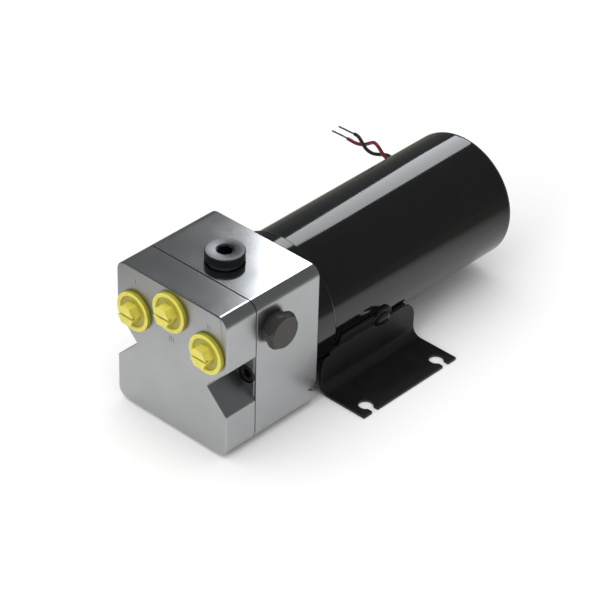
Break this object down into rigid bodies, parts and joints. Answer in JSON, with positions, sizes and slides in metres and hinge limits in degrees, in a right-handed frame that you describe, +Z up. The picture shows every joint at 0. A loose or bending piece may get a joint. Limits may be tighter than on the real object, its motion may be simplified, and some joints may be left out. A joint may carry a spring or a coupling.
{
  "type": "hydraulic power unit",
  "caption": "Compact electric hydraulic pump unit: aluminium valve and gear-pump block with plugged ports, round black motor behind it, and a sheet-metal foot with open keyholes.",
  "frame": {"origin": "centre of the foot's four keyholes, on the mounting plane (underside of the feet)", "axes": "+Y along the motor axis from the port face to the motor's rear, +Z up from the mounting plane, +X to the right seen from the port face"},
  "size_m": [0.1194, 0.192, 0.0765],
  "materials": {
    "machined_aluminium": "fine-milled, lightly polished",
    "yellow_plastic": "moulded, slightly translucent",
    "plug_steel": "phosphated, fine turned",
    "dark_plug_steel": "dark phosphated",
    "black_screw_steel": "black oxide",
    "seal_rubber": "moulded",
    "bronze": "sintered",
    "ground_steel": "ground",
    "gear_steel": "hobbed and ground",
    "spring_steel": "drawn wire",
    "motor_black": "gloss black powder coat",
    "foot_black": "satin black powder coat",
    "magnet_ferrite": "sintered ferrite",
    "core_steel": "stacked laminations",
    "copper": "enamelled copper wire",
    "phenolic": "pressed insulating plate",
    "carbon": "pressed carbon",
    "grommet_rubber": "moulded",
    "red_insulation": "extruded insulation",
    "black_insulation": "extruded insulation"
  },
  "bodies": {
    "housing": {"port_block": "machined_aluminium", "pump_block": "machined_aluminium", "face_seal": "seal_rubber", "port_seals": "seal_rubber", "dowel_pins": "ground_steel", "corner_screws": "black_screw_steel", "block_screws": "black_screw_steel", "top_plug": "plug_steel", "top_plug_seal": "seal_rubber", "side_plug_right": "dark_plug_steel", "side_plug_left": "dark_plug_steel", "side_plug_seals": "dark_plug_steel", "front_bushes": "bronze", "rear_bushes": "bronze", "shaft_seal": "seal_rubber", "check_seats": "bronze", "check_spring_right": "spring_steel", "check_spring_left": "spring_steel", "relief_spring_right": "spring_steel", "relief_spring_left": "spring_steel", "motor_flange": "motor_black", "motor_can": "motor_black", "tie_screws": "black_screw_steel", "magnets": "magnet_ferrite", "brush_plate": "phenolic", "brush_spring_right": "spring_steel", "brush_spring_left": "spring_steel", "bearing_outer_rings": "ground_steel", "bearing_balls": "ground_steel", "preload_washer": "spring_steel", "foot_bracket": "foot_black", "bracket_screws": "black_screw_steel", "lead_grommet": "grommet_rubber", "lead_red": "red_insulation", "lead_black": "black_insulation"},
    "rotor": {"drive_shaft": "ground_steel", "drive_gear": "gear_steel", "coupling": "ground_steel", "armature_shaft": "ground_steel", "armature_core": "core_steel", "windings": "copper", "commutator": "copper", "bearing_inner_rings": "ground_steel"},
    "idler": {"driven_shaft": "ground_steel", "driven_gear": "gear_steel"},
    "spool": {"pilot_spool": "ground_steel"},
    "poppet_right": {"check_poppet_right": "ground_steel"},
    "poppet_left": {"check_poppet_left": "ground_steel"},
    "relief_right": {"relief_ball_right": "ground_steel"},
    "relief_left": {"relief_ball_left": "ground_steel"},
    "brush_right": {"brush_right": "carbon"},
    "brush_left": {"brush_left": "carbon"},
    "plug_left": {"port_plug_left": "yellow_plastic"},
    "plug_tank": {"port_plug_tank": "yellow_plastic"},
    "plug_right": {"port_plug_right": "yellow_plastic"}
  },
  "joints": [
    {"name": "rotor_spin", "type": "hinge", "parent": "housing", "child": "rotor", "pos_m": [0, 0, 0.034], "axis": [0, 1, 0], "continuous": true},
    {"name": "idler_spin", "type": "hinge", "parent": "housing", "child": "idler", "pos_m": [0, 0, 0.019], "axis": [0, 1, 0], "continuous": true},
    {"name": "spool_shift", "type": "slide", "parent": "housing", "child": "spool", "axis": [1, 0, 0], "range_m": [-0.0014, 0.0014]},
    {"name": "check_right_lift", "type": "slide", "parent": "housing", "child": "poppet_right", "axis": [1, 0, 0], "range_m": [0, 0.002], "stiffness_N_per_m": 300, "springref_m": -0.004, "deforming": ["check_spring_right"]},
    {"name": "check_left_lift", "type": "slide", "parent": "housing", "child": "poppet_left", "axis": [-1, 0, 0], "range_m": [0, 0.002], "stiffness_N_per_m": 300, "springref_m": -0.004, "deforming": ["check_spring_left"]},
    {"name": "relief_right_lift", "type": "slide", "parent": "housing", "child": "relief_right", "axis": [0, -1, 0], "range_m": [0, 0.0015], "stiffness_N_per_m": 300, "springref_m": -0.004, "deforming": ["relief_spring_right"]},
    {"name": "relief_left_lift", "type": "slide", "parent": "housing", "child": "relief_left", "axis": [0, -1, 0], "range_m": [0, 0.0015], "stiffness_N_per_m": 300, "springref_m": -0.004, "deforming": ["relief_spring_left"]},
    {"name": "brush_right_travel", "type": "slide", "parent": "housing", "child": "brush_right", "axis": [1, 0, 0], "range_m": [0, 0.003], "stiffness_N_per_m": 80, "springref_m": -0.006, "deforming": ["brush_spring_right"]},
    {"name": "brush_left_travel", "type": "slide", "parent": "housing", "child": "brush_left", "axis": [-1, 0, 0], "range_m": [0, 0.003], "stiffness_N_per_m": 80, "springref_m": -0.006, "deforming": ["brush_spring_left"]},
    {"name": "plug_left_out", "type": "slide", "parent": "housing", "child": "plug_left", "axis": [0, -1, 0], "range_m": [0, 0.0125]},
    {"name": "plug_tank_out", "type": "slide", "parent": "housing", "child": "plug_tank", "axis": [0, -1, 0], "range_m": [0, 0.0125]},
    {"name": "plug_right_out", "type": "slide", "parent": "housing", "child": "plug_right", "axis": [0, -1, 0], "range_m": [0, 0.0125]}
  ],
  "couplings": [
    {"joint": "idler_spin", "follows": "rotor_spin", "ratio": -1}
  ]
}
